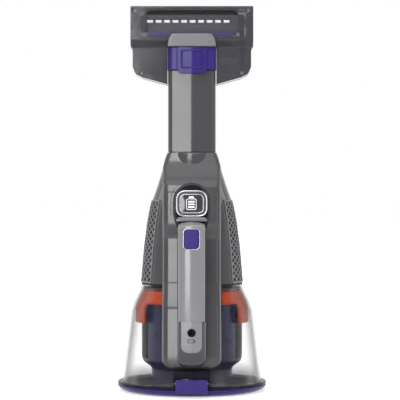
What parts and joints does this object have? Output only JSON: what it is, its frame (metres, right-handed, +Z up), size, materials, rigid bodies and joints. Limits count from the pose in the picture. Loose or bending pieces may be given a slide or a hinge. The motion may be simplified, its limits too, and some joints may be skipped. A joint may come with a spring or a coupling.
{
  "type": "cordless hand vacuum",
  "caption": "Cordless hand vacuum standing on its bowl lid, with a clear dust bowl, arched handle, straight nozzle and a motorised pet brush head.",
  "frame": {"origin": "middle of the lid's flat underside, on the bowl's axis", "axes": "+Z up along the length to the brush head, -Y towards the handle, +X to the right seen from the handle"},
  "size_m": [0.1732, 0.2036, 0.446],
  "materials": {
    "purple_plastic": "glossy moulded purple plastic",
    "black_rubber": "matte black rubber",
    "clear_bowl": "clear polycarbonate",
    "steel": "drawn steel",
    "smoke_dark": "dark smoky grey plastic",
    "orange_plastic": "glossy orange plastic",
    "filter_screen": "purple-grey filter screen",
    "filter_paper": "pleated filter paper",
    "gunmetal_plastic": "glossy metallic dark grey plastic",
    "grille_grey": "glossy textured grey plastic",
    "dark_steel": "blackened screws",
    "brass": "plated brass",
    "black_plastic": "black moulded plastic",
    "white_plastic": "white moulded plastic",
    "motor_steel": "zinc plated steel",
    "cell_wrap": "blue cell wrap",
    "circuit_board": "green circuit board",
    "chrome_trim": "bright chrome trim",
    "display_glass": "glossy black display window",
    "silver_plastic": "silver metallic plastic",
    "soft_grip": "dark soft-touch grip",
    "pale_plastic": "bright silver plastic",
    "smoke_clear": "smoky translucent plastic",
    "window_clear": "clear window",
    "guard_grey": "grey plastic",
    "shoulder_grey": "glossy grey plastic",
    "baffle_grey": "purple-grey plastic",
    "brush_purple": "dark purple plastic",
    "white_bristle": "white nylon bristle"
  },
  "bodies": {
    "root": {"dust_bowl": "clear_bowl", "hinge_pin": "steel", "latch_bracket": "smoke_dark", "latch_pin": "steel", "bowl_seal": "black_rubber", "front_shell": "gunmetal_plastic", "rear_shell": "gunmetal_plastic", "side_grille_left": "grille_grey", "side_grille_right": "grille_grey", "shell_screws": "dark_steel", "nozzle_tube": "gunmetal_plastic", "nozzle_contacts": "brass", "inlet_duct": "black_plastic", "bulkhead": "black_plastic", "fan_housing": "black_plastic", "motor_can": "motor_steel", "motor_damper": "black_rubber", "battery_cells": "cell_wrap", "battery_holder": "black_plastic", "main_board": "circuit_board", "display_bezel": "chrome_trim", "display_lens": "display_glass", "display_board": "circuit_board", "crossbar": "silver_plastic", "handle_grip": "silver_plastic", "handle_inner": "soft_grip", "handle_foot": "gunmetal_plastic", "charge_panel": "pale_plastic", "charge_socket": "black_plastic", "power_switch": "black_plastic", "power_spring": "steel"},
    "lid": {"lid_cover": "purple_plastic", "lid_seal": "black_rubber"},
    "latch": {"lid_latch": "purple_plastic"},
    "filter": {"filter_ring": "orange_plastic", "filter_shroud": "filter_screen", "pleated_filter": "filter_paper", "filter_seal": "black_rubber"},
    "rotor": {"impeller": "white_plastic"},
    "power_button": {"power_button": "purple_plastic"},
    "head": {"head_cover": "smoke_clear", "head_sole": "smoke_dark", "head_window": "window_clear", "brush_guard": "guard_grey", "neck_shoulder": "shoulder_grey", "neck_socket": "smoke_dark", "release_collar": "purple_plastic", "release_spring": "steel", "chamber_wall": "smoke_dark", "left_baffle": "baffle_grey", "head_motor": "motor_steel", "motor_clamp": "baffle_grey", "drive_belt": "black_rubber", "brush_bearings": "white_plastic", "head_contacts": "brass", "head_screws": "dark_steel"},
    "release_button": {"release_button": "purple_plastic"},
    "brush": {"brush_core": "brush_purple", "brush_bristles": "white_bristle"},
    "pinion": {"motor_pinion": "brass"}
  },
  "joints": [
    {"name": "lid_hinge", "type": "hinge", "parent": "root", "child": "lid", "pos_m": [0, 0.091, 0.0075], "axis": [1, 0, 0], "range_deg": [0, 95]},
    {"name": "latch_pivot", "type": "hinge", "parent": "root", "child": "latch", "pos_m": [0, -0.0882, 0.0165], "axis": [-1, 0, 0], "range_deg": [0, 15], "stiffness_Nm_per_rad": 0.05},
    {"name": "filter_twist", "type": "hinge", "parent": "root", "child": "filter", "pos_m": [0, 0, 0.06], "axis": [0, 0, 1], "range_deg": [0, 20]},
    {"name": "motor_spin", "type": "hinge", "parent": "root", "child": "rotor", "pos_m": [0, -0.005, 0.14], "axis": [0, 0, 1], "continuous": true},
    {"name": "power_press", "type": "slide", "parent": "root", "child": "power_button", "axis": [0, 1, 0], "range_m": [0, 0.0016], "stiffness_N_per_m": 600},
    {"name": "head_pull", "type": "slide", "parent": "root", "child": "head", "axis": [0, 0, 1], "range_m": [0, 0.06]},
    {"name": "release_press", "type": "slide", "parent": "head", "child": "release_button", "axis": [0, 1, 0], "range_m": [0, 0.002], "stiffness_N_per_m": 600},
    {"name": "brush_spin", "type": "hinge", "parent": "head", "child": "brush", "pos_m": [0, 0.001, 0.43], "axis": [1, 0, 0], "continuous": true},
    {"name": "pinion_spin", "type": "hinge", "parent": "head", "child": "pinion", "pos_m": [0, -0.006, 0.383], "axis": [1, 0, 0], "continuous": true}
  ],
  "couplings": [
    {"joint": "pinion_spin", "follows": "brush_spin", "ratio": 2}
  ]
}
